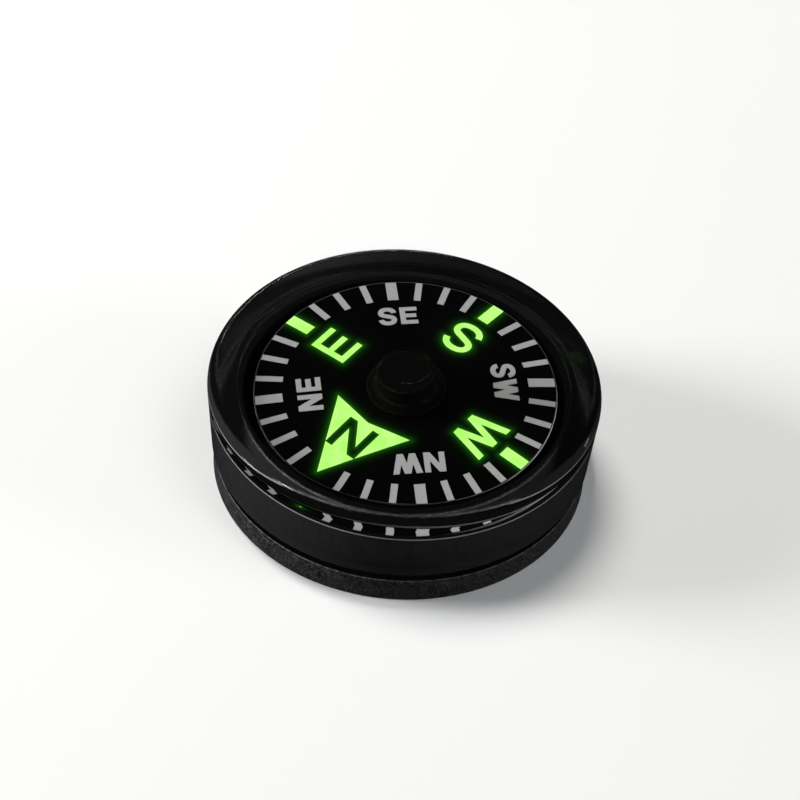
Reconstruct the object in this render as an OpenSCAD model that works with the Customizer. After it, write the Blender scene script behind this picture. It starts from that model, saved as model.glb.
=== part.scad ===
// Liquid-filled luminous button compass: clear domed capsule on a black base, floating card on a steel pivot.
// Millimetres. +Z is up. +Y is the card's north. The origin is the centre of the face it rests on.

/* [Case] */
// radius of the clear capsule at its rim
case_r = 10; // [7:0.5:15]
// radius of the clear capsule at its lower edge
case_foot_r = 9.7; // [6.9:0.05:15]
// height of the flat rim above the resting face
rim_z = 6.05; // [5:0.05:8]
// radius of the rounding on the rim's outer edge
rim_round = 0.53; // [0.1:0.01:0.8]
// radius of the domed window inside the flat rim
dome_r = 8.66; // [6:0.05:13]
// rise of the domed window above the flat rim
dome_rise = 1.02; // [0.3:0.02:2]
// radius of the hollow rounding where the window meets the flat rim
dome_fillet = 1.2; // [0.2:0.1:3]
// thickness of the roof
roof_t = 0.5; // [0.3:0.05:1]
// radius of the liquid space
cavity_r = 8.4; // [6:0.05:13]
// radius of the rounding between the roof and the wall inside
cavity_round = 0.4; // [0.1:0.05:0.8]
// radius of the shallow round mark in the middle of the window
mark_r = 1.29; // [0.5:0.01:2]
// depth of that mark
mark_depth = 0.03; // [0.01:0.01:0.1]
// radius of the stub left standing in its middle
stub_r = 0.11; // [0.05:0.01:0.3]

/* [Base] */
// radius of the black flange
flange_r = 9.56; // [6.5:0.02:15]
// thickness of the black flange
flange_h = 1.41; // [1:0.01:3]
// width of the small bevels on the flange's edges
flange_bevel = 0.08; // [0.02:0.01:0.3]
// height of the groove between flange and capsule
groove_h = 0.53; // [0.2:0.01:0.8]
// outer radius of the seal in the groove
seal_r = 9.2; // [6:0.05:14]
// clearance between the base's cup and the capsule's wall
plug_gap = 0.02; // [0.01:0.01:0.1]
// inner radius of the base's cup
cup_r = 7.95; // [5:0.05:13]
// height of the cup's edge above the resting face
cup_z = 4.1; // [2.5:0.05:5]
// height of the cup's floor above the resting face
floor_z = 1.4; // [1:0.1:2]
// radius of the boss that holds the pivot pin
boss_r = 0.9; // [0.6:0.05:2]
// height of that boss's top above the resting face
boss_z = 2.4; // [1.6:0.1:3]

/* [Pivot] */
// radius of the steel pivot pin
pin_r = 0.28; // [0.2:0.01:0.5]
// height of the pin's foot in the base
pin_foot_z = 0.7; // [0.4:0.1:1]
// height of the pivot point
pivot_z = 5.92; // [4:0.02:7]
// length of the pin's point
point_l = 0.7; // [0.4:0.05:1.2]
// radius of the jewel
jewel_r = 0.5; // [0.4:0.01:0.8]
// height of the jewel's top above the pivot point
jewel_top = 0.14; // [0.08:0.02:0.4]
// clearance round the jewel in the hub
jewel_gap = 0.06; // [0.03:0.01:0.1]

/* [Card] */
// dip of the card's north side at rest, degrees
dip = 4.5; // [0:0.1:6]
// radius of the card
card_r = 7.51; // [5:0.01:12]
// depth of the card's face below the pivot point
card_drop = 1.78; // [1:0.01:2.5]
// thickness of the aluminium disc
disc_t = 0.15; // [0.1:0.01:0.4]
// thickness of the black face layer
face_t = 0.03; // [0.02:0.01:0.08]
// width of bare metal left at the card's edge
bare_edge = 0.05; // [0.02:0.01:0.2]
// thickness of the painted marks
mark_t = 0.03; // [0.02:0.01:0.08]

/* [Hub] */
// radius of the hub's spigot through the card
spigot_r = 1.6; // [1.2:0.05:2.5]
// radius of the hub's collar on the card
collar_r = 1.96; // [1.7:0.02:3]
// height of the collar above the card's face
collar_h = 0.35; // [0.1:0.05:0.8]
// radius of the hub's flat top
hub_top_r = 1.45; // [0.8:0.01:2]
// height of the hub's top above the pivot point
hub_top = 0.4; // [0.3:0.05:0.8]
// radius of the hub's bore below the jewel
hub_bore_r = 0.95; // [0.7:0.05:1.3]

/* [Magnet] */
// length of the bar magnet
magnet_l = 9; // [5:0.5:12]
// width of the bar magnet
magnet_w = 4.6; // [3.6:0.1:6]
// thickness of the bar magnet
magnet_t = 0.7; // [0.4:0.1:1]

/* [Dial] */
// inner radius of the ring of bars
bar_in = 6.09; // [4:0.01:9]
// outer radius of the ring of bars
bar_out = 7.45; // [5:0.01:11]
// width of a narrow bar
bar_narrow = 0.34; // [0.2:0.01:0.8]
// width of a wide bar
bar_wide = 0.55; // [0.3:0.01:1.2]
// width of a luminous bar
bar_green = 0.63; // [0.3:0.01:1.2]
// points in the ring of bars
points = 32; // [16:16:64]
// radius of the middle of the large letters
letter_at = 4.46; // [3:0.02:7]
// height of the large letters
letter_h = 2.02; // [1:0.02:4]
// stroke of the large letters
letter_t = 0.32; // [0.1:0.01:0.8]
// radius of the middle of the small letters
small_at = 4.84; // [3:0.02:7]
// height of the small letters
small_h = 1.22; // [0.6:0.02:2]
// stroke of the small letters
small_t = 0.29; // [0.1:0.01:0.5]
// radius of the north arrow's point
arrow_tip = 6.85; // [4:0.01:10]
// distance of the north arrow's back corners from the card's centre line
arrow_half = 2.24; // [1:0.02:4]
// distance of the back corners from the centre, along north
arrow_back = 2.52; // [1:0.02:5]
// distance of the notch in the arrow's back from the centre
arrow_notch = 2.97; // [1:0.01:5]

/* [Hidden] */
$fn = 96;
foot_z = flange_h + groove_h;
plug_r = cavity_r - plug_gap;
dome_ball = (dome_r * dome_r + dome_rise * dome_rise) / (2 * dome_rise);
dome_mid = rim_z + dome_rise - dome_ball;
roof_ball = dome_ball - roof_t;
// centre of the hollow rounding outside, and the place where it runs into the window
fillet_r = sqrt(pow(dome_ball + dome_fillet, 2) - pow(rim_z + dome_fillet - dome_mid, 2));
fillet_in = fillet_r * dome_ball / (dome_ball + dome_fillet);
fillet_top = dome_mid + (rim_z + dome_fillet - dome_mid) * dome_ball / (dome_ball + dome_fillet);
// centre of the rounding inside, where roof and wall are both tangent to it
corner_r = cavity_r - cavity_round;
corner_z = dome_mid + sqrt(pow(roof_ball - cavity_round, 2) - corner_r * corner_r);
wide_at = [90, 180, 270];
half_winds = [45, 135, 225, 315];
step = 360 / points;

base();
seal_ring();
pivot_pin();
capsule();
jewel();
hub();
magnet();
card_disc();
card_face();
north_arrow();
letter_e();
letter_s();
letter_w();
letters_ne();
letters_se();
letters_sw();
letters_nw();
cardinal_bars();
intercardinal_bars();
point_bars();

// ---------------------------------------------------------------- helpers

// puts its children on the dipping card, whose own origin is the pivot point
module on_card() {
    translate([0, 0, pivot_z])
        rotate([-dip, 0, 0])
            children();
}

// a painted mark: a thin layer standing on the card's face
module painted() {
    on_card()
        translate([0, 0, -card_drop])
            linear_extrude(mark_t)
                children();
}

// turns a flat shape to a bearing, clockwise from north, at a radius, its top facing outwards
module at_bearing(bearing, radius) {
    rotate(-bearing)
        translate([0, radius])
            children();
}

// one bar of the ring
module bar(width) {
    translate([-width / 2, -(bar_out - bar_in) / 2])
        square([width, bar_out - bar_in]);
}

// a slanting stroke between x positions a at the top and b at the bottom, d wide along x
module slant(a, b, h, d) {
    polygon([[a - d / 2, h / 2], [a + d / 2, h / 2], [b + d / 2, -h / 2], [b - d / 2, -h / 2]]);
}

module glyph_e(w, h, t) {
    translate([-w / 2, -h / 2])
        square([t, h]);
    for (y = [-h / 2, h / 2 - t])
        translate([-w / 2, y])
            square([w, t]);
    translate([-w / 2, -t / 2])
        square([w * 0.93, t]);
}

module glyph_n(w, h, t) {
    g = t * 1.1;
    k = h - h * (w - g - t) / (t * 1.16 + w - 2 * g);
    polygon([
        [-w / 2, -h / 2],
        [-w / 2, h / 2],
        [g - w / 2, h / 2],
        [w / 2 - t, k - h / 2],
        [w / 2 - t, h / 2],
        [w / 2, h / 2],
        [w / 2, -h / 2],
        [w / 2 - g, -h / 2],
        [t - w / 2, h / 2 - k],
        [t - w / 2, -h / 2]
    ]);
}

module glyph_w(w, h, t) {
    d = t * 1.06;
    side = w / 2 - d / 2;
    foot = side * 0.52;
    slant(-side, -foot, h, d);
    slant(0, -foot, h, d);
    slant(0, foot, h, d);
    slant(side, foot, h, d);
}

// point and direction on a curve through four control points
function bend(p, u) =
    pow(1 - u, 3) * p[0] + 3 * pow(1 - u, 2) * u * p[1] + 3 * (1 - u) * u * u * p[2] + pow(u, 3) * p[3];
function heading(p, u) =
    3 * pow(1 - u, 2) * (p[1] - p[0]) + 6 * (1 - u) * u * (p[2] - p[1]) + 3 * u * u * (p[3] - p[2]);
function side_point(p, u, off) =
    let (a = heading(p, u), l = norm(a))
    bend(p, u) + off * [-a[1], a[0]] / l;

// the letter S: three bends and their half-turned copies, followed by a stroke t wide
module glyph_s(w, h, t) {
    a = (w - t) / 2;
    b = (h - t) / 2;
    half = [
        [[a * 0.97, b * 0.48], [a * 0.86, b * 0.84], [a * 0.48, b], [0, b]],
        [[0, b], [-a * 0.56, b], [-a * 0.92, b * 0.8], [-a * 0.92, b * 0.5]],
        [[-a * 0.92, b * 0.5], [-a * 0.92, b * 0.16], [-a * 0.5, b * 0.12], [0, 0]]
    ];
    turned = [for (i = [2:-1:0]) [for (j = [3:-1:0]) [-half[i][j][0], -half[i][j][1]]]];
    path = concat(half, turned);
    ends = [for (k = [0:8]) k / 8];
    left = [for (p = path) for (u = ends) if (u < 1) side_point(p, u, t / 2)];
    right = [for (p = path) for (u = ends) if (u < 1) side_point(p, u, -t / 2)];
    last = [side_point(path[5], 1, t / 2), side_point(path[5], 1, -t / 2)];
    polygon(concat(left, last, [for (i = [len(right) - 1:-1:0]) right[i]]));
}

// ---------------------------------------------------------------- case

module base() {
    color([0.05, 0.05, 0.055])
        difference() {
            rotate_extrude()
                polygon([
                    [0, 0],
                    [flange_r - flange_bevel, 0],
                    [flange_r, flange_bevel],
                    [flange_r, flange_h - flange_bevel],
                    [flange_r - flange_bevel, flange_h],
                    [plug_r, flange_h],
                    [plug_r, cup_z - 0.1],
                    [plug_r - 0.1, cup_z],
                    [cup_r, cup_z],
                    [cup_r, floor_z + 0.3],
                    [cup_r - 0.3, floor_z],
                    [boss_r, floor_z],
                    [boss_r, boss_z - 0.1],
                    [boss_r - 0.1, boss_z],
                    [0, boss_z]
                ]);
            translate([0, 0, pin_foot_z])
                cylinder(r = pin_r, h = boss_z, $fn = 48);
        }
}

module seal_ring() {
    color([0.02, 0.02, 0.02])
        rotate_extrude()
            difference() {
                translate([plug_r, flange_h])
                    square([seal_r - plug_r, groove_h]);
                // shallow hollow round the outside of the seal
                translate([seal_r + 0.28, flange_h + groove_h / 2])
                    circle(r = 0.33, $fn = 48);
            }
}

module pivot_pin() {
    color([0.75, 0.76, 0.78])
        rotate_extrude($fn = 48)
            polygon([
                [0, pin_foot_z],
                [pin_r, pin_foot_z],
                [pin_r, pivot_z - point_l],
                [0.03, pivot_z - 0.02],
                [0, pivot_z - 0.01]
            ]);
}

// the section of wall, rim and window
module capsule_outline() {
    difference() {
        solid_outline();
        // hollow rounding between window and rim
        translate([fillet_r, rim_z + dome_fillet - 0.001])
            circle(r = dome_fillet, $fn = 360);
        // shallow round mark left by the mould in the middle of the window
        difference() {
            translate([stub_r, rim_z])
                square([mark_r - stub_r, dome_rise + 1]);
            translate([0, dome_mid])
                circle(r = dome_ball - mark_depth, $fn = 720);
        }
    }
}

// the same with its window unmarked, the rim's rounding as a true arc
module solid_outline() {
    polygon([
        [0, foot_z],
        [case_foot_r - 0.05, foot_z],
        [case_foot_r, foot_z + 0.05],
        [case_r, rim_z - rim_round],
        [case_r - rim_round, rim_z - rim_round],
        [case_r - rim_round, rim_z],
        [fillet_r, rim_z],
        [fillet_in, fillet_top],
        [0, fillet_top]
    ]);
    intersection() {
        translate([case_r - rim_round, rim_z - rim_round])
            circle(r = rim_round, $fn = 64);
        translate([case_r - rim_round, rim_z - rim_round])
            square(rim_round);
    }
    intersection() {
        translate([0, dome_mid])
            circle(r = dome_ball, $fn = 720);
        translate([0, rim_z - 0.2])
            square([fillet_in, dome_rise + 0.4]);
    }
}

module cavity_outline() {
    translate([0, foot_z - 1])
        square([cavity_r, corner_z - foot_z + 1]);
    intersection() {
        translate([0, dome_mid])
            circle(r = roof_ball, $fn = 720);
        translate([0, corner_z - 0.1])
            square([corner_r, roof_ball]);
    }
    intersection() {
        translate([corner_r, corner_z])
            circle(r = cavity_round, $fn = 64);
        translate([corner_r - 0.2, corner_z - 0.1])
            square(1);
    }
}

module capsule() {
    color([0.85, 0.92, 0.95, 0.35])
        rotate_extrude($fn = 180)
            difference() {
                capsule_outline();
                cavity_outline();
            }
}

// ---------------------------------------------------------------- pivot

// cupped jewel, which turns on the pin's point
module jewel() {
    color([0.7, 0.12, 0.2])
        translate([0, 0, pivot_z])
            rotate_extrude($fn = 48)
                polygon([
                    [0, 0.01],
                    [0.06, -0.04],
                    [0.36, -0.45],
                    [jewel_r - 0.04, -0.45],
                    [jewel_r, -0.41],
                    [jewel_r, jewel_top - 0.04],
                    [jewel_r - 0.04, jewel_top],
                    [0, jewel_top]
                ]);
}

// ---------------------------------------------------------------- card

// moulded hub: collar on the card, hollow flank up to a flat cap, spigot through the card
module hub() {
    bore = jewel_r + jewel_gap;
    fillet = 0.3;
    color([0.04, 0.04, 0.045])
        on_card()
            rotate_extrude()
                difference() {
                    union() {
                        translate([0, -card_drop])
                            square([collar_r - 0.1, collar_h]);
                        translate([0, -card_drop])
                            square([collar_r, collar_h - 0.1]);
                        translate([collar_r - 0.1, collar_h - card_drop - 0.1])
                            circle(r = 0.1, $fn = 32);
                        translate([0, -card_drop])
                            square([hub_top_r - 0.1, hub_top + card_drop]);
                        translate([0, -card_drop])
                            square([hub_top_r, hub_top + card_drop - 0.1]);
                        translate([hub_top_r - 0.1, hub_top - 0.1])
                            circle(r = 0.1, $fn = 32);
                        translate([0, collar_h - card_drop])
                            square([hub_top_r + fillet, fillet]);
                        translate([0, -card_drop - disc_t - face_t - magnet_t - 0.1])
                            square([spigot_r, disc_t + face_t + magnet_t + 0.2]);
                    }
                    // hollow fillet between the collar and the stem
                    translate([hub_top_r + fillet, collar_h - card_drop + fillet])
                        circle(r = fillet, $fn = 48);
                    // dimple in the middle of the cap
                    translate([0, hub_top + 0.1])
                        circle(r = 0.16, $fn = 32);
                    translate([0, -4])
                        square([hub_bore_r, 4 - 0.62]);
                    translate([0, -1])
                        square([bore, 1 + jewel_top + jewel_gap]);
                }
}

module magnet() {
    color([0.3, 0.3, 0.32])
        on_card()
            translate([0, 0, -card_drop - face_t - disc_t - magnet_t])
                linear_extrude(magnet_t)
                    difference() {
                        square([magnet_w, magnet_l], center = true);
                        circle(r = spigot_r);
                    }
}

module card_disc() {
    color([0.8, 0.8, 0.8])
        on_card()
            translate([0, 0, -card_drop - face_t - disc_t])
                linear_extrude(disc_t)
                    difference() {
                        circle(r = card_r, $fn = 180);
                        circle(r = spigot_r);
                    }
}

module card_face() {
    color([0.02, 0.02, 0.02])
        on_card()
            translate([0, 0, -card_drop - face_t])
                linear_extrude(face_t)
                    difference() {
                        circle(r = card_r - bare_edge, $fn = 180);
                        circle(r = spigot_r);
                    }
}

// arrowhead with the letter N left out of it
module north_arrow() {
    color([0.7, 0.95, 0.55])
        painted()
            difference() {
                polygon([
                    [0, arrow_tip],
                    [arrow_half, arrow_back],
                    [0, arrow_notch],
                    [-arrow_half, arrow_back]
                ]);
                translate([0, 4.17])
                    glyph_n(1.81, 1.97, 0.42);
            }
}

module letter_e() {
    color([0.7, 0.95, 0.55])
        painted()
            at_bearing(90, letter_at - 0.03)
                translate([0.02, 0])
                    glyph_e(1.53, letter_h, letter_t);
}

module letter_s() {
    color([0.7, 0.95, 0.55])
        painted()
            at_bearing(180, letter_at + 0.03)
                glyph_s(1.67, letter_h + 0.1, letter_t * 1.03);
}

module letter_w() {
    color([0.7, 0.95, 0.55])
        painted()
            at_bearing(270, letter_at + 0.1)
                glyph_w(2.5, letter_h, letter_t * 1.06);
}

module letters_ne() {
    color([0.55, 0.55, 0.55])
        painted()
            at_bearing(45, small_at - 0.08) {
                translate([-0.5, 0])
                    glyph_n(1.03, small_h, small_t);
                translate([0.66, 0])
                    glyph_e(0.87, small_h, small_t * 0.93);
            }
}

module letters_se() {
    color([0.55, 0.55, 0.55])
        painted()
            at_bearing(135, small_at + 0.06) {
                translate([-0.42, 0])
                    glyph_s(0.96, small_h + 0.06, small_t * 0.93);
                translate([0.65, 0])
                    glyph_e(0.87, small_h, small_t * 0.93);
            }
}

module letters_sw() {
    color([0.55, 0.55, 0.55])
        painted()
            at_bearing(225, small_at + 0.07) {
                translate([-0.83, 0])
                    glyph_s(0.96, small_h + 0.06, small_t * 0.93);
                translate([0.44, 0])
                    glyph_w(1.45, small_h, small_t);
            }
}

module letters_nw() {
    color([0.55, 0.55, 0.55])
        painted()
            at_bearing(315, small_at - 0.04) {
                translate([-0.88, 0])
                    glyph_n(1.03, small_h, small_t);
                translate([0.47, 0])
                    glyph_w(1.45, small_h, small_t);
            }
}

module cardinal_bars() {
    color([0.7, 0.95, 0.55])
        painted()
            for (b = wide_at)
                at_bearing(b, (bar_in + bar_out) / 2 + 0.02)
                    bar(bar_green);
}

module intercardinal_bars() {
    color([0.55, 0.55, 0.55])
        painted()
            for (b = half_winds)
                at_bearing(b, (bar_in + bar_out) / 2)
                    bar(bar_wide);
}

module point_bars() {
    color([0.55, 0.55, 0.55])
        painted()
            for (i = [0:points - 1])
                if ((i * step) % 45 != 0)
                    at_bearing(i * step, (bar_in + bar_out) / 2)
                        bar(bar_narrow);
}
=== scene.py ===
import math

import bpy
from mathutils import Matrix, Vector, kdtree


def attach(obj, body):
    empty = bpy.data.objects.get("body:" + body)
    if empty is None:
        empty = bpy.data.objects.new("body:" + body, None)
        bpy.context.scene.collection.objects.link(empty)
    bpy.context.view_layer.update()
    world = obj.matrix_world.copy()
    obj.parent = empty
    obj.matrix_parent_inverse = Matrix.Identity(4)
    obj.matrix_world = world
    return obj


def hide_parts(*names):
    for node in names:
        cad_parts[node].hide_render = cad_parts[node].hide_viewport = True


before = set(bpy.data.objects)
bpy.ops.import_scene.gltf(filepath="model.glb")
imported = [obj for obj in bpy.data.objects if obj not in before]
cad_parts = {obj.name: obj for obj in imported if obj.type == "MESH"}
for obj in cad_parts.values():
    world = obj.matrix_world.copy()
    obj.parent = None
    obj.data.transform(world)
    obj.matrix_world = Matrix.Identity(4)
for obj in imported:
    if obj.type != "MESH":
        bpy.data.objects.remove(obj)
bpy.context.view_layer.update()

MM = 0.001

# ------------------------------------------------------------------ sizes, in millimetres

RIM_Z = 6.05
CASE_R = 10.0
CASE_FOOT_R = 9.7
RIM_ROUND = 0.53
FOOT_Z = 1.94
FOOT_LIFT = 0.006
FOOT_ROUND = 0.06
DOME_R = 8.66
DOME_RISE = 1.02
DOME_FILLET = 1.2
ROOF_T = 0.5
MARK_R = 1.29
MARK_DEPTH = 0.03
STUB_R = 0.11
CAVITY_R = 8.4
CAVITY_ROUND = 0.4
FLANGE_R = 9.56
FLANGE_H = 1.41
PLUG_R = 8.38
CUP_R = 7.95
CUP_Z = 4.1
FLOOR_Z = 1.4
BOSS_R = 0.9
BOSS_Z = 2.4
SEAL_R = 9.2
PIVOT_Z = 5.92
DIP = math.radians(4.5)
CARD_DROP = 1.78
FACE_T = 0.03
FACE_R = 7.46
SPIGOT_R = 1.6

LUMINOUS = ("north_arrow", "letter_e", "letter_s", "letter_w", "cardinal_bars")
GREY = ("letters_ne", "letters_se", "letters_sw", "letters_nw",
        "intercardinal_bars", "point_bars")

# ------------------------------------------------------------------ camera

VIEW_AZ = math.radians(-144.3)
VIEW_EL = math.radians(44.85)
VIEW_ROLL = math.radians(4.51)
VIEW_DISTANCE = 200.0
LENS = 178.02
# where the middle of the rim falls in the frame, in millimetres at the object
AIM_RIGHT = 0.27
AIM_UP = 1.034

# ------------------------------------------------------------------ looks

ACRYLIC_IOR = 1.49
# the acrylic's index over the liquid's
WET_IOR = 1.012
# how far the painted green glow round the marks spreads on the black face: its share and its reach in
# millimetres
PAINTED_SPILL_NEAR = (0.8, 0.11)
PAINTED_SPILL_FAR = (0.02, 0.35)
FLOOR_SIZE = 1.6
STUDIO_STRENGTH = 0.008


# ------------------------------------------------------------------ mesh helpers

# edges that turn by more than this stay sharp
SHARP_EDGE = math.radians(55)


def arc(cx, cz, r, a0, a1, n):
    """Points on a circle about (cx, cz), from angle a0 to a1 in degrees."""
    out = []
    for i in range(n + 1):
        a = math.radians(a0 + (a1 - a0) * i / n)
        out.append((cx + r * math.cos(a), cz + r * math.sin(a)))
    return out


def rounded(points, radii, steps=6, hold=0.02):
    """Rounds the corners of an open profile, with a holding point on each side of every rounding."""
    out = [points[0]]
    for i in range(1, len(points) - 1):
        r = radii[i]
        if r <= 0:
            out.append(points[i])
            continue
        a, b, c = (Vector(p) for p in points[i - 1:i + 2])
        u, v = (a - b).normalized(), (c - b).normalized()
        half = u.angle(v) / 2
        cut = r / math.tan(half)
        mid = b + (u + v).normalized() * (r / math.sin(half))
        p0, p1 = b + u * cut, b + v * cut
        out.append(tuple(p0 + u * min(hold, (a - p0).length * 0.4)))
        s0, s1 = p0 - mid, p1 - mid
        turn = s0.angle_signed(s1)
        for k in range(steps + 1):
            q = s0.copy()
            q.rotate(Matrix.Rotation(-turn * k / steps, 2))
            out.append(tuple(mid + q))
        out.append(tuple(p1 + v * min(hold, (c - p1).length * 0.4)))
    out.append(points[-1])
    return out


def lathe(name, loop, segments, slots=None, materials=(), close=True):
    """Turns a profile of (radius, height) in millimetres about Z. slots gives each span's material."""
    verts, rings = [], []
    for r, z in loop:
        if r < 1e-6:
            rings.append([len(verts)])
            verts.append((0, 0, z * MM))
        else:
            rings.append(list(range(len(verts), len(verts) + segments)))
            for k in range(segments):
                a = 2 * math.pi * k / segments
                verts.append((r * math.cos(a) * MM, r * math.sin(a) * MM, z * MM))
    faces, index = [], []
    spans = len(loop) if close else len(loop) - 1
    for i in range(spans):
        a, b = rings[i], rings[(i + 1) % len(loop)]
        if len(a) == 1 and len(b) == 1:
            continue
        for k in range(segments):
            m = (k + 1) % segments
            if len(a) == 1:
                faces.append((a[0], b[m], b[k]))
            elif len(b) == 1:
                faces.append((a[k], a[m], b[0]))
            else:
                faces.append((a[k], a[m], b[m], b[k]))
            index.append(slots[i] if slots else 0)
    mesh = bpy.data.meshes.new(name)
    mesh.from_pydata(verts, [], faces)
    for m in materials:
        mesh.materials.append(m)
    for poly, s in zip(mesh.polygons, index):
        poly.use_smooth = True
        poly.material_index = s
    mesh.update()
    mesh.set_sharp_from_angle(angle=SHARP_EDGE)
    obj = bpy.data.objects.new(name, mesh)
    bpy.context.scene.collection.objects.link(obj)
    return obj


def on_card():
    """Carries the level card, whose origin is the pivot point, to its dipping place at rest."""
    return Matrix.Translation((0, 0, PIVOT_Z * MM)) @ Matrix.Rotation(-DIP, 4, "X")


# ------------------------------------------------------------------ material helpers

class Tree:
    """A small builder for node materials."""

    def __init__(self, name):
        self.mat = bpy.data.materials.new(name)
        self.mat.use_nodes = True
        self.nt = self.mat.node_tree
        self.nt.nodes.clear()
        self.out = self.add("ShaderNodeOutputMaterial")

    def add(self, kind, **settings):
        n = self.nt.nodes.new(kind)
        for k, v in settings.items():
            setattr(n, k, v)
        return n

    def link(self, a, b):
        self.nt.links.new(a, b)

    def put(self, socket, value):
        if hasattr(value, "is_output"):
            self.link(value, socket)
        else:
            socket.default_value = value

    def bsdf(self, **values):
        n = self.add("ShaderNodeBsdfPrincipled")
        for k, v in values.items():
            self.put(n.inputs[k.replace("_", " ")], v)
        self.link(n.outputs[0], self.out.inputs["Surface"])
        return n

    def coords(self):
        """Object coordinates in millimetres."""
        t = self.add("ShaderNodeTexCoord")
        m = self.add("ShaderNodeVectorMath", operation="SCALE")
        m.inputs["Scale"].default_value = 1 / MM
        self.link(t.outputs["Object"], m.inputs[0])
        return m.outputs[0]

    def noise(self, vector, scale, detail=2.0, rough=0.5, distortion=0.0):
        n = self.add("ShaderNodeTexNoise")
        n.inputs["Scale"].default_value = scale
        n.inputs["Detail"].default_value = detail
        n.inputs["Roughness"].default_value = rough
        n.inputs["Distortion"].default_value = distortion
        self.link(vector, n.inputs["Vector"])
        return n.outputs["Fac"]

    def math(self, op, a, b=None, c=None, clamp=False):
        n = self.add("ShaderNodeMath", operation=op, use_clamp=clamp)
        self.put(n.inputs[0], a)
        if b is not None:
            self.put(n.inputs[1], b)
        if c is not None:
            self.put(n.inputs[2], c)
        return n.outputs[0]

    def remap(self, x, a, b, c, d, smooth=False):
        n = self.add("ShaderNodeMapRange")
        if smooth:
            n.interpolation_type = "SMOOTHSTEP"
        self.put(n.inputs["Value"], x)
        for key, v in (("From Min", a), ("From Max", b), ("To Min", c), ("To Max", d)):
            self.put(n.inputs[key], v)
        return n.outputs["Result"]

    def mix(self, fac, a, b):
        n = self.add("ShaderNodeMix", data_type="RGBA")
        self.put(n.inputs["Factor"], fac)
        self.put(n.inputs["A"], a)
        self.put(n.inputs["B"], b)
        return n.outputs["Result"]

    def bump(self, height, strength, distance, normal=None):
        n = self.add("ShaderNodeBump")
        n.inputs["Strength"].default_value = strength
        n.inputs["Distance"].default_value = distance * MM
        self.link(height, n.inputs["Height"])
        if normal is not None:
            self.link(normal, n.inputs["Normal"])
        return n.outputs["Normal"]

    def polar(self, vector):
        """Distance round the axis (as an angle), radius and height, in millimetres and radians."""
        s = self.add("ShaderNodeSeparateXYZ")
        self.link(vector, s.inputs[0])
        x, y, z = s.outputs
        angle = self.math("ARCTAN2", y, x)
        radius = self.math("SQRT", self.math("ADD", self.math("MULTIPLY", x, x),
                                             self.math("MULTIPLY", y, y)))
        return angle, radius, z

    def combine(self, x, y, z):
        n = self.add("ShaderNodeCombineXYZ")
        for i, v in enumerate((x, y, z)):
            self.put(n.inputs[i], v)
        return n.outputs[0]


def rgb(r, g, b):
    return (r, g, b, 1.0)


# ------------------------------------------------------------------ materials

def clear_acrylic():
    """Polished acrylic in air, with faint turning marks on the rim."""
    t = Tree("clear_acrylic")
    p = t.coords()
    angle, radius, z = t.polar(p)
    rim = t.math("MULTIPLY", t.remap(radius, DOME_R, DOME_R + 0.1, 0.0, 1.0, True),
                 t.remap(z, RIM_Z - 0.10, RIM_Z - 0.02, 0.0, 1.0, True))
    streak = t.noise(t.combine(t.math("MULTIPLY", angle, 6.0),
                               t.math("MULTIPLY", radius, 15.0),
                               t.math("MULTIPLY", z, 15.0)), 1.0, 4.0, 0.7)
    marks = t.math("MULTIPLY", streak, rim)
    swell = t.noise(p, 0.35, 2.0, 0.4)
    n = t.bump(marks, 0.5, 0.012)
    n = t.bump(swell, 0.3, 0.01, n)
    rough = t.math("ADD", t.math("MULTIPLY", t.remap(streak, 0.45, 0.7, 0.0, 0.03), rim), 0.004)
    t.bsdf(Base_Color=rgb(0.985, 0.99, 0.99), Roughness=rough, IOR=ACRYLIC_IOR,
           Transmission_Weight=1.0, Normal=n)
    return t.mat


def wet_acrylic():
    """Acrylic against the damping liquid, which bends light very little."""
    t = Tree("wet_acrylic")
    p = t.coords()
    tint = t.mix(t.noise(p, 0.8, 2.0), rgb(0.985, 0.99, 0.99), rgb(0.995, 0.995, 0.99))
    t.bsdf(Base_Color=tint, Roughness=0.0, IOR=WET_IOR, Transmission_Weight=1.0)
    return t.mat


def black_moulding():
    """Fine-grained black plastic of the flange and the underside, with a painted highlight along the
    flange's top outer edge and painted shade on its flat top in the groove.
    """
    t = Tree("black_moulding")
    p = t.coords()
    _, radius, z = t.polar(p)
    grain = t.noise(p, 9.0, 2.0, 0.8)
    coarse = t.noise(p, 3.0, 2.0)
    speck = t.math("ADD", t.math("MULTIPLY", t.remap(grain, 0.46, 0.58, 0.0, 1.0), 0.85),
                   t.math("MULTIPLY", coarse, 0.15))
    colour = t.mix(speck, rgb(0.001, 0.001, 0.001), rgb(0.045, 0.045, 0.046))
    # painted highlight: a pale band, mottled by the coarse noise, painted along the flange's top outer
    # edge
    rim = t.remap(radius, FLANGE_R - 0.06, FLANGE_R - 0.02, 0.0, 1.0)
    corner = t.math("MULTIPLY", rim, t.remap(z, FLANGE_H - 0.07, FLANGE_H - 0.02, 0.0, 1.0))
    painted_edge_highlight = t.math("MULTIPLY", corner, t.remap(coarse, 0.4, 0.6, 0.2, 1.0))
    colour = t.mix(painted_edge_highlight, colour, rgb(0.12, 0.12, 0.12))
    # the flange's flat top lies in the groove, and is painted near black and made rough there: painted
    # shade
    painted_groove_shade = t.remap(z, FLANGE_H - 0.02, FLANGE_H - 0.006, 0.0, 1.0)
    colour = t.mix(painted_groove_shade, colour, rgb(0.001, 0.001, 0.001))
    rough = t.math("ADD", t.math("MULTIPLY", grain, 0.25), 0.30)
    rough = t.math("MAXIMUM", rough, t.math("MULTIPLY", painted_groove_shade, 0.9))
    t.bsdf(Base_Color=colour, Roughness=rough, Specular_IOR_Level=0.4,
           Normal=t.bump(grain, 0.9, 0.14))
    return t.mat


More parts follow.
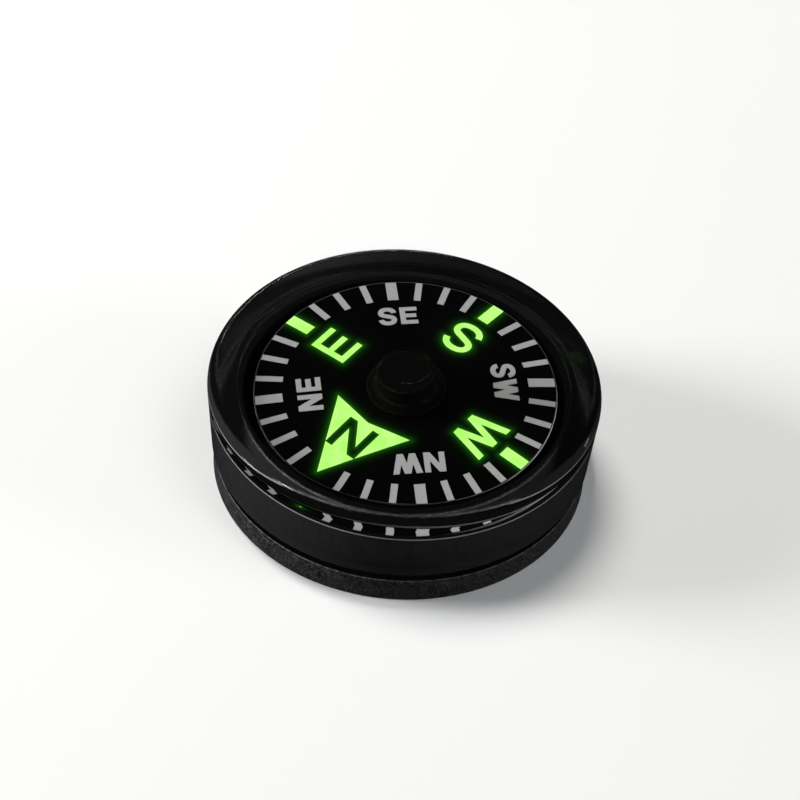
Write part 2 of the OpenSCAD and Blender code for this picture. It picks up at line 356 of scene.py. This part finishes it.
def wet_moulding():
    """The same plastic in the liquid: almost no gloss, satin where the cup lies on the clear wall,
    and painted pale along the cup's outer edge as a painted highlight."""
    t = Tree("wet_moulding")
    p = t.coords()
    angle, radius, z = t.polar(p)
    wall = t.math("MULTIPLY", t.remap(radius, PLUG_R - 0.04, PLUG_R - 0.01, 0.0, 1.0),
                  t.remap(z, CUP_Z - 0.07, CUP_Z - 0.05, 1.0, 0.0))
    # painted highlight: the mask of the pale band painted along the top of the cup's outer wall
    edge = t.math("MULTIPLY", wall, t.remap(z, CUP_Z - 0.16, CUP_Z - 0.12, 0.0, 1.0))
    streak = t.noise(t.combine(t.math("MULTIPLY", angle, 110.0),
                               t.math("MULTIPLY", z, 0.5), 0.0), 1.0, 3.0, 0.6)
    grain = t.noise(p, 12.0, 3.0, 0.6)
    satin = t.mix(t.remap(streak, 0.3, 0.7, 0.0, 1.0), rgb(0.0085, 0.0086, 0.0089),
                  rgb(0.0130, 0.0132, 0.0136))
    inside = t.mix(grain, rgb(0.0015, 0.0015, 0.0015), rgb(0.0035, 0.0035, 0.0035))
    # the pale colour painted on that band stands in for a highlight
    painted_rim_highlight = t.mix(grain, rgb(0.10, 0.10, 0.10), rgb(0.26, 0.26, 0.26))
    colour = t.mix(edge, t.mix(wall, inside, satin), painted_rim_highlight)
    t.bsdf(Base_Color=colour, Roughness=0.6, Specular_IOR_Level=0.03,
           Normal=t.bump(grain, 0.4, 0.03))
    return t.mat


def seal_rubber():
    t = Tree("seal_rubber")
    p = t.coords()
    grain = t.noise(p, 9.0, 3.0)
    t.bsdf(Base_Color=t.mix(grain, rgb(0.0015, 0.0015, 0.0015), rgb(0.004, 0.004, 0.004)),
           Roughness=0.85, Specular_IOR_Level=0.1, Normal=t.bump(grain, 0.3, 0.02))
    return t.mat


def luminous_paint():
    """Thick pale green paint that glows, a little uneven in its depth."""
    t = Tree("luminous_paint")
    p = t.coords()
    cloud = t.noise(p, 1.6, 3.0, 0.5)
    fine = t.noise(p, 30.0, 2.0)
    depth = t.math("ADD", t.math("MULTIPLY", cloud, 0.8), t.math("MULTIPLY", fine, 0.2))
    k = t.remap(depth, 0.35, 0.65, 0.0, 1.0, True)
    paint = t.mix(k, rgb(0.25, 0.66, 0.09), rgb(0.33, 0.74, 0.15))
    glow = t.mix(k, rgb(0.37, 0.84, 0.12), rgb(0.45, 0.90, 0.20))
    t.bsdf(Base_Color=paint, Roughness=0.6, Specular_IOR_Level=0.2, Emission_Color=glow,
           Emission_Strength=0.45, Normal=t.bump(fine, 0.15, 0.01))
    return t.mat


def grey_print():
    t = Tree("grey_print")
    p = t.coords()
    fine = t.noise(p, 22.0, 3.0, 0.6)
    cloud = t.noise(p, 1.2, 2.0)
    k = t.math("ADD", t.math("MULTIPLY", fine, 0.6), t.math("MULTIPLY", cloud, 0.4))
    t.bsdf(Base_Color=t.mix(k, rgb(0.22, 0.22, 0.216), rgb(0.35, 0.35, 0.345)),
           Roughness=0.65, Specular_IOR_Level=0.2, Normal=t.bump(fine, 0.25, 0.01))
    return t.mat


def face_print_painted_glow():
    """Black print, with a painted green glow close round the luminous marks."""
    t = Tree("face_print_painted_glow")
    p = t.coords()
    a = t.add("ShaderNodeAttribute", attribute_name="glow")
    fine = t.noise(p, 18.0, 3.0)
    base = t.mix(fine, rgb(0.0005, 0.0005, 0.0005), rgb(0.0014, 0.0014, 0.0014))
    # painted glow: the face emits green light by its glow attribute, fading away from the marks
    t.bsdf(Base_Color=base, Roughness=0.8, Specular_IOR_Level=0.01,
           Emission_Color=rgb(0.015, 0.16, 0.004), Emission_Strength=a.outputs["Fac"],
           Normal=t.bump(fine, 0.1, 0.01))
    return t.mat


def cut_aluminium():
    """Aluminium with black lacquer on its flat sides and a bright, finely nicked cut edge."""
    t = Tree("cut_aluminium")
    p = t.coords()
    angle, radius, z = t.polar(p)
    nick = t.noise(t.combine(t.math("MULTIPLY", angle, 90.0), radius, z), 1.0, 3.0)
    geo = t.add("ShaderNodeNewGeometry")
    s = t.add("ShaderNodeSeparateXYZ")
    t.link(geo.outputs["True Normal"], s.inputs[0])
    flat = t.remap(t.math("ABSOLUTE", s.outputs[2]), 0.5, 0.8, 0.0, 1.0)
    metal = t.mix(nick, rgb(0.62, 0.62, 0.61), rgb(0.92, 0.92, 0.91))
    lacquer = t.mix(nick, rgb(0.050, 0.050, 0.050), rgb(0.110, 0.110, 0.108))
    t.bsdf(Base_Color=t.mix(flat, metal, lacquer), Metallic=0.35,
           Roughness=t.remap(nick, 0.3, 0.7, 0.35, 0.6), Normal=t.bump(nick, 0.2, 0.01))
    return t.mat


def hub_plastic():
    t = Tree("hub_plastic")
    p = t.coords()
    fine = t.noise(p, 9.0, 3.0)
    t.bsdf(Base_Color=t.mix(fine, rgb(0.0010, 0.0010, 0.0010), rgb(0.0030, 0.0026, 0.0022)),
           Roughness=t.remap(fine, 0.3, 0.7, 0.10, 0.20), Specular_IOR_Level=0.3,
           Normal=t.bump(fine, 0.2, 0.012))
    return t.mat


def ground_steel(name, dark, light, rough):
    t = Tree(name)
    p = t.coords()
    s = t.add("ShaderNodeSeparateXYZ")
    t.link(p, s.inputs[0])
    lines = t.noise(t.combine(t.math("MULTIPLY", s.outputs[0], 40.0), s.outputs[1],
                              t.math("MULTIPLY", s.outputs[2], 4.0)), 1.0, 3.0)
    t.bsdf(Base_Color=t.mix(lines, dark, light), Metallic=1.0,
           Roughness=t.remap(lines, 0.3, 0.7, rough, rough + 0.15),
           Normal=t.bump(lines, 0.15, 0.01))
    return t.mat


def ruby():
    t = Tree("ruby")
    p = t.coords()
    cloud = t.noise(p, 3.0, 2.0)
    t.bsdf(Base_Color=t.mix(cloud, rgb(0.45, 0.02, 0.06), rgb(0.62, 0.05, 0.12)),
           Roughness=0.08, IOR=1.76, Transmission_Weight=0.6)
    return t.mat


def pale_floor():
    t = Tree("pale_floor")
    p = t.coords()
    n = t.noise(p, 0.02, 3.0)
    t.bsdf(Base_Color=t.mix(n, rgb(0.78, 0.78, 0.77), rgb(0.81, 0.81, 0.80)), Roughness=0.7,
           Specular_IOR_Level=0.2)
    return t.mat


# ------------------------------------------------------------------ pieces

def gate_mark(mid, ball):
    """The shallow round mark in the middle of the window, with the stub left standing in it."""
    def on(radius, depth):
        return radius, mid + math.sqrt((ball - depth) ** 2 - radius ** 2)
    out = [on(MARK_R, 0), on(MARK_R - 0.012, MARK_DEPTH * 0.3), on(MARK_R - 0.022, MARK_DEPTH * 0.8),
           on(MARK_R - 0.04, MARK_DEPTH), on(MARK_R - 0.07, MARK_DEPTH)]
    out += [on(MARK_R * (1 - k / 8), MARK_DEPTH) for k in range(1, 7)]
    out += [on(STUB_R + 0.05, MARK_DEPTH), on(STUB_R + 0.02, MARK_DEPTH), on(STUB_R, MARK_DEPTH * 0.7),
            on(STUB_R - 0.015, MARK_DEPTH * 0.2), on(STUB_R - 0.03, 0)]
    return out


def build_capsule():
    ball = (DOME_R ** 2 + DOME_RISE ** 2) / (2 * DOME_RISE)
    mid = RIM_Z + DOME_RISE - ball
    roof = ball - ROOF_T
    corner_r = CAVITY_R - CAVITY_ROUND
    corner_z = mid + math.sqrt((roof - CAVITY_ROUND) ** 2 - corner_r ** 2)
    foot = FOOT_Z + FOOT_LIFT
    hollow_z = RIM_Z + DOME_FILLET
    hollow_r = math.sqrt((ball + DOME_FILLET) ** 2 - (hollow_z - mid) ** 2)
    dome_from = math.degrees(math.atan2(hollow_z - mid, hollow_r))
    outer = rounded([(CAVITY_R, foot), (CASE_FOOT_R, foot), (CASE_R, RIM_Z - 0.02),
                     (CASE_R - 0.02, RIM_Z), (DOME_R, RIM_Z)],
                    [0, FOOT_ROUND, 0, 0, 0], 5)
    wall_top = (CASE_R, RIM_Z - RIM_ROUND)
    outer = [p for p in outer if p[1] < RIM_Z - RIM_ROUND - 0.1]
    outer += [(CASE_R - 0.001, RIM_Z - RIM_ROUND - 0.03), wall_top]
    outer += arc(CASE_R - RIM_ROUND, RIM_Z - RIM_ROUND, RIM_ROUND, 0, 90, 14)[1:]
    outer += [(CASE_R - RIM_ROUND - 0.03, RIM_Z), (hollow_r + 0.03, RIM_Z)]
    outer += arc(hollow_r, hollow_z, DOME_FILLET, -90, dome_from - 180, 12)
    dome = arc(0, mid, ball, dome_from, math.degrees(math.acos((MARK_R + 0.03) / ball)), 50)
    dome += gate_mark(mid, ball)
    outer += dome[1:] + [(0, RIM_Z + DOME_RISE)]
    roof_to = math.degrees(math.atan2(corner_z - mid, corner_r))
    inner = [(0, RIM_Z + DOME_RISE - ROOF_T)]
    inner += arc(0, mid, roof, 90, roof_to, 50)[1:]
    inner += arc(corner_r, corner_z, CAVITY_ROUND, roof_to, 0, 10)[1:]
    inner += [(CAVITY_R, corner_z - 0.03)]
    loop = outer + inner
    # the inside is wet: it bends light against liquid and not air
    slots = [0 if i < len(outer) - 1 else 1 for i in range(len(loop))]
    obj = lathe("capsule_clear", loop, 256, slots, (clear_acrylic(), wet_acrylic()))
    obj.visible_shadow = False
    obj.visible_diffuse = False
    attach(obj, "case")
    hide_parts("capsule")
    return obj


def build_base(dry, wet):
    loop = rounded([
        (0, 0), (FLANGE_R, 0), (FLANGE_R, FLANGE_H), (PLUG_R, FLANGE_H), (PLUG_R, CUP_Z),
        (CUP_R, CUP_Z), (CUP_R, FLOOR_Z), (BOSS_R, FLOOR_Z), (BOSS_R, BOSS_Z), (0.28, BOSS_Z),
        (0.28, 0.7), (0, 0.7)
    ], [0, 0.09, 0.07, 0, 0.06, 0.1, 0.3, 0, 0.1, 0, 0, 0], 5)
    # everything inside the outline of the cup, above the flange, is in the liquid
    slots = [1 if max(a[1], b[1]) > FLOOR_Z and max(a[0], b[0]) < PLUG_R + 0.001 else 0
             for a, b in zip(loop, loop[1:])]
    obj = lathe("base_moulding", loop, 256, slots, (dry, wet), close=False)
    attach(obj, "case")
    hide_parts("base")
    return obj


def build_seal(mat):
    top = FOOT_Z
    loop = [(PLUG_R, FLANGE_H), (SEAL_R - 0.03, FLANGE_H)]
    loop += arc(SEAL_R + 0.28, FLANGE_H + 0.265, 0.33, 212, 148, 10)
    loop += [(SEAL_R - 0.03, top), (PLUG_R, top)]
    obj = lathe("seal", loop, 192, None, (mat,))
    # the light inside the clear wall turns back at its foot, and is not lost in the seal
    obj.visible_diffuse = False
    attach(obj, "case")
    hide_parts("seal_ring")
    return obj


def outline_points():
    """Points along the outlines of the luminous marks, level with the card, for the painted glow round
    them.
    """
    back = on_card().inverted()
    pts = []
    for name in LUMINOUS:
        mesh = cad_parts[name].data
        for e in mesh.edges:
            a, b = (back @ mesh.vertices[i].co for i in e.vertices)
            level = (-CARD_DROP + 0.02) * MM
            if a.z < level or b.z < level:
                continue
            n = max(1, int((a - b).length / (0.05 * MM)))
            pts += [a.lerp(b, k / n) for k in range(n + 1)]
    return pts


def build_face(mat):
    """The printed face, finely divided so that it can carry the painted green glow round the marks."""
    top, low = -CARD_DROP, -CARD_DROP - FACE_T
    rings = 90
    loop = [(SPIGOT_R + (FACE_R - SPIGOT_R) * i / rings, top) for i in range(rings + 1)]
    loop = [(SPIGOT_R, low)] + loop + [(FACE_R, low)]
    obj = lathe("face_print_painted_glow", loop[::-1], 420, None, (mat,))
    for poly in obj.data.polygons:
        poly.use_smooth = False
    pts = outline_points()
    tree = kdtree.KDTree(len(pts))
    for i, p in enumerate(pts):
        tree.insert(Vector((p.x, p.y, 0)), i)
    tree.balance()
    # painted glow: each point's share of green emission, set by its distance from the nearest mark
    # outline
    glow = obj.data.attributes.new("glow", "FLOAT", "POINT")
    for i, v in enumerate(obj.data.vertices):
        d = tree.find(Vector((v.co.x, v.co.y, 0)))[2] / MM
        glow.data[i].value = sum(share * math.exp(-d / reach) for share, reach in (PAINTED_SPILL_NEAR, PAINTED_SPILL_FAR))
    obj.data.transform(on_card())
    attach(obj, "card")
    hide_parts("card_face")
    return obj


def dress(nodes, mat):
    for name in nodes:
        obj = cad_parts[name]
        for s in obj.material_slots:
            s.material = mat
        if not obj.material_slots:
            obj.data.materials.append(mat)


# ------------------------------------------------------------------ stage

def build_stage():
    size = FLOOR_SIZE
    mesh = bpy.data.meshes.new("floor")
    mesh.from_pydata([(-size, -size, 0), (size, -size, 0), (size, size, 0), (-size, size, 0)],
                     [], [(0, 1, 2, 3)])
    mesh.materials.append(pale_floor())
    floor = bpy.data.objects.new("floor", mesh)
    bpy.context.scene.collection.objects.link(floor)
    # the clear case shows a dark studio, and not the floor
    floor.visible_glossy = False
    floor.visible_transmission = False
    world = bpy.data.worlds.new("studio")
    world.use_nodes = True
    bg = world.node_tree.nodes["Background"]
    bg.inputs["Color"].default_value = rgb(0.9, 0.94, 1.0)
    bg.inputs["Strength"].default_value = STUDIO_STRENGTH
    bpy.context.scene.world = world


def view_axes():
    back = Vector((math.sin(VIEW_AZ) * math.cos(VIEW_EL), -math.cos(VIEW_AZ) * math.cos(VIEW_EL),
                   math.sin(VIEW_EL)))
    right = Vector((math.cos(VIEW_AZ), math.sin(VIEW_AZ), 0))
    return right, back.cross(right), back


def build_camera():
    right, up, back = view_axes()
    c, s = math.cos(VIEW_ROLL), math.sin(VIEW_ROLL)
    cam_right, cam_up = right * c + up * s, up * c - right * s
    aim = Vector((0, 0, RIM_Z)) - cam_right * AIM_RIGHT - cam_up * AIM_UP
    place = (aim + back * VIEW_DISTANCE) * MM
    data = bpy.data.cameras.new("camera")
    data.lens = LENS
    data.sensor_width = 36.0
    data.clip_start = 0.001
    data.clip_end = 20.0
    cam = bpy.data.objects.new("camera", data)
    cam.matrix_world = Matrix((
        (cam_right.x, cam_up.x, back.x, place.x),
        (cam_right.y, cam_up.y, back.y, place.y),
        (cam_right.z, cam_up.z, back.z, place.z),
        (0, 0, 0, 1)))
    bpy.context.scene.collection.objects.link(cam)
    bpy.context.scene.camera = cam


def area(name, side, forward, height, size, power, colour, broad=True, gloss=True, strip=None):
    """A soft lamp placed as the camera sees it: to its side, beyond or before the object, and up.
    Without broad it only makes highlights, and without gloss it makes none. strip gives a strip
    lamp's width and its slope."""
    right, _, back = view_axes()
    flat = Vector((back.x, back.y, 0)).normalized()
    place = (right * side - flat * forward + Vector((0, 0, height))) * MM
    data = bpy.data.lights.new(name, "AREA")
    data.shape = "RECTANGLE" if strip else "DISK"
    data.size = size * MM
    data.size_y = (strip[0] if strip else size) * MM
    data.energy = power
    data.color = colour
    obj = bpy.data.objects.new(name, data)
    obj.location = place
    aim = (Vector((0, 0, RIM_Z * MM)) - place).to_track_quat("-Z", "Y").to_matrix()
    slope = Matrix.Rotation(math.radians(strip[1] if strip else 0), 3, "Z")
    obj.rotation_euler = (aim @ slope).to_euler()
    obj.visible_diffuse = broad
    obj.visible_glossy = gloss
    # no lamp is seen through the clear case
    obj.visible_transmission = False
    bpy.context.scene.collection.objects.link(obj)


def build_lights():
    area("key", -220, 200, 340, 200, 1.7, (1.0, 0.98, 0.95), gloss=False)
    area("fill", 320, -120, 340, 260, 0.7, (0.93, 0.96, 1.0), gloss=False)
    area("left", -380, -60, 110, 80, 0.08, (0.94, 0.96, 1.0))
    area("side", -400, 10, 60, 160, 4.0, (0.97, 0.98, 1.0), gloss=False)
    area("other_side", 400, -60, 60, 160, 0.9, (0.97, 0.98, 1.0), gloss=False)
    area("back", -95, 370, 127, 240, 0.10, (1.0, 0.95, 0.88), broad=False, strip=(30, 18))
    area("hub", -200, -20, 340, 24, 0.03, (1.0, 0.85, 0.7), broad=False)
    area("edge", 380, 160, 70, 40, 0.03, (1.0, 0.97, 0.93), broad=False)


# ------------------------------------------------------------------ build

build_stage()
build_camera()
build_lights()
build_capsule()
build_base(black_moulding(), wet_moulding())
build_seal(seal_rubber())
build_face(face_print_painted_glow())
dress(LUMINOUS, luminous_paint())
dress(GREY, grey_print())
dress(("card_disc",), cut_aluminium())
dress(("hub",), hub_plastic())
dress(("magnet",), ground_steel("magnet_steel", rgb(0.10, 0.10, 0.11), rgb(0.20, 0.20, 0.21), 0.35))
dress(("pivot_pin",), ground_steel("pin_steel", rgb(0.5, 0.5, 0.52), rgb(0.7, 0.7, 0.72), 0.15))
dress(("jewel",), ruby())

bpy.context.scene.view_settings.view_transform = "Standard"

bpy.context.view_layer.update()
